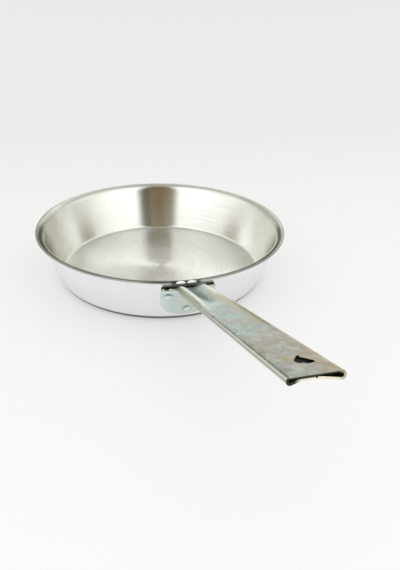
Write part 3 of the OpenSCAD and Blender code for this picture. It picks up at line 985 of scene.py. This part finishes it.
# %% Finish of the rivets
RIVET_DARK, RIVET_PALE, RIVET_TOP_SHADE = (0.55, 0.64, 0.58), (0.85, 0.93, 0.9), (0.1, 0.14, 0.11)
material, nodes, links, shader = new_material("rivet_metal")
facing = add_node("NewGeometry").outputs["Normal"]
dents = noise_at(place_in_mm(), 350, 1.0)
head = mix_colour(remap(dents, 0.35, 0.65), RIVET_DARK, RIVET_PALE)
# Painted shade: the upper side of each head is darkened
painted_upper_shade = remap(measure("DOT_PRODUCT", facing, (0, 0, 1)), -0.05, 0.25, 0.0, 0.85)
links.new(mix_colour(painted_upper_shade, head, RIVET_TOP_SHADE), shader.inputs["Base Color"])
links.new(remap(dents, 0.3, 0.7, 0.22, 0.36), shader.inputs["Roughness"])
bump = add_node("Bump", Height=dents, Strength=0.25, Distance=0.4 * MM)
links.new(bump.outputs[0], shader.inputs["Normal"])
shader.inputs["Metallic"].default_value = 1.0
for name in RIVETS:
    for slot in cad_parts["rivet_" + name].material_slots:
        slot.material = material
print("materials", [m.name for m in bpy.data.materials])

# %% [markdown]
# The table
#
# A polished outer wall mirrors mostly the table, so the table has to be as bright as it looks.
# A white surface alone would leave the mirror image grey, and a stronger light would wash out
# the pan. So the table is mid-grey and glows a little, less so towards the back.

# %% A pale table that glows
TABLE_SIZE, TABLE_DOWN, TABLE_GLOW = 60, 0.2, 0.53
GRAIN_DARK, GRAIN_PALE = (0.39, 0.39, 0.39), (0.41, 0.41, 0.41)
FRONT_GLOW, BACK_GLOW = (1.0, 1.0, 1.0), (0.72, 0.70, 0.69)
bpy.ops.mesh.primitive_plane_add(size=TABLE_SIZE, location=(0, 0, -TABLE_DOWN * MM))
table = bpy.context.object
table.name = "table"
material, nodes, links, shader = new_material("pale_table")
place = place_in_mm()
grain = remap(noise_at(place, 900, 2.0), 0.3, 0.7)
to_back = remap(measure("DOT_PRODUCT", place, (0.1, 1, 0)), -300, 500)
links.new(mix_colour(grain, GRAIN_DARK, GRAIN_PALE), shader.inputs["Base Color"])
links.new(mix_colour(to_back, FRONT_GLOW, BACK_GLOW), shader.inputs["Emission Color"])
shader.inputs["Roughness"].default_value = 0.9
shader.inputs["Emission Strength"].default_value = TABLE_GLOW
table.data.materials.append(material)
print("table", table.dimensions[:])

# %% [markdown]
# Soft light
#
# The photograph has no hard shadows, only a soft one under the pan. Area lamps could give that,
# but a white world gives it with one value, and evenly from all sides.

# %% Soft light from all sides
WORLD_LIGHT = 1.05
world = bpy.data.worlds.new("studio")
world.use_nodes = True
background = world.node_tree.nodes["Background"]
background.inputs[0].default_value = (1, 1, 1, 1)
background.inputs[1].default_value = WORLD_LIGHT
bpy.context.scene.world = world
print("world light", WORLD_LIGHT)

# %% [markdown]
# The dome of light
#
# Polished metal shows what lies around it, so the bands in the pan are mirror images of bright
# and dark surroundings. Lamps would have to be placed one by one. A big sphere that glows is
# simpler: its colour depends on the direction alone, so a dark strip is a few numbers. Only
# mirror images see it. Angles go clockwise from the back, as seen from above.

# %% A sphere that only mirror images see
DOME_R = 8
bpy.ops.mesh.primitive_uv_sphere_add(segments=96, ring_count=48, radius=DOME_R)
dome = bpy.context.object
dome.name = "light_dome"
dome.visible_camera = dome.visible_shadow = dome.visible_diffuse = False
material, nodes, links, shader = new_material("light_dome", "Emission")
dome_x, dome_y, dome_z = add_node("SeparateXYZ", n0=add_node("TexCoord").outputs["Object"]).outputs
way_round = remap(calc("ARCTAN2", dome_x, dome_y), -math.pi, math.pi)
print("dome", dome.dimensions[:])

# %% Strips of light


def warm(level, warmth):
    """A light that has a little less blue than red and green."""
    return level, level, level - warmth


def strips_of_light(strips):
    """The colour all round, from angles with their lights, evenly mixed between them."""
    ramp = add_node("ValToRGB", Fac=way_round)
    stops = ramp.color_ramp.elements
    for degrees, light in strips[1:-1]:
        stops.new((degrees + 180) / 360).color = (*light, 1)
    first, last = stops[0], stops[len(stops) - 1]
    first.position, first.color = 0, (*strips[0][1], 1)
    last.position, last.color = 1, (*strips[-1][1], 1)
    return ramp.outputs[0]


BROWN, DEEP_OLIVE, DIM_OLIVE = (0.19, 0.12, 0.04), (0.05, 0.05, 0.02), (0.1, 0.1, 0.06)
FRONT_LEFT = [(-180, BROWN), (-172, (0.16, 0.1, 0.03)), (-163, (0.18, 0.14, 0.06)),
              (-155, (0.22, 0.19, 0.11)), (-148, warm(1.35, 0.03)), (-110, warm(1.25, 0))]
FRONT_RIGHT = [(130, warm(1.25, 0.03)), (164, warm(1.35, 0)), (168, DEEP_OLIVE),
               (176, DEEP_OLIVE), (180, BROWN)]
print("strips in front", len(FRONT_LEFT) + len(FRONT_RIGHT))

# %% Three heights of light and a ceiling
low = strips_of_light(FRONT_LEFT + [
    (-95, warm(1.15, 0.03)), (-60, warm(0.95, 0.05)), (-30, warm(0.7, 0.05)),
    (-10, warm(0.65, 0.05)), (-4, DIM_OLIVE), (26, DIM_OLIVE), (34, warm(0.6, 0.08)),
    (60, warm(0.85, 0.05)), (110, warm(0.9, 0.06))] + FRONT_RIGHT)
middle = strips_of_light(FRONT_LEFT + [
    (-95, warm(1.15, 0.03)), (-65, warm(1.0, 0.04)), (-30, warm(0.6, 0.06)),
    (2, warm(0.6, 0.06)), (14, warm(1.2, 0.02)), (32, warm(1.2, 0.02)), (55, warm(0.8, 0.05)),
    (80, warm(0.9, 0.05)), (120, warm(1.05, 0.05))] + FRONT_RIGHT)
high = strips_of_light(FRONT_LEFT + [
    (-95, warm(1.05, 0.05)), (-60, warm(0.8, 0.05)), (-25, warm(0.42, 0.04)),
    (50, warm(0.42, 0.04)), (80, warm(0.8, 0.05)), (120, warm(1.05, 0.05))] + FRONT_RIGHT)
CEILING = warm(0.4, 0.03)


def above(start, end):
    """A share that rises from nought to one between two angles over the horizon."""
    return remap(dome_z, *[DOME_R * math.sin(math.radians(angle)) for angle in (start, end)])


light = mix_colour(above(20, 25), low, middle)
light = mix_colour(above(38, 48), light, high)
light = mix_colour(above(68, 80), light, CEILING)
links.new(light, shader.inputs["Color"])
dome.data.materials.append(material)
print("nodes of the dome", len(nodes))

# %% [markdown]
# Camera
#
# The camera stands where the photograph was taken from: in front and to the left of the handle,
# about 29 degrees above the table. Its place was found by matching the outlines of rim, floor
# and base. The plain colour setting keeps the metal's pale tones as they are.

# %% Place the camera
CAMERA_PLACE = (-85.54, -423.26, 224.0)
CAMERA_TILT, CAMERA_ROLL, CAMERA_TURN = 60.807, -1.6785, -14.958
LENS, SENSOR = 35.37, 36
bpy.ops.object.camera_add(
    location=[value * MM for value in CAMERA_PLACE],
    rotation=[math.radians(angle) for angle in (CAMERA_TILT, CAMERA_ROLL, CAMERA_TURN)])
camera = bpy.context.object
camera.data.sensor_width = SENSOR
camera.data.lens = LENS
bpy.context.scene.camera = camera
bpy.context.scene.view_settings.view_transform = "Standard"
print("camera", camera.location[:])
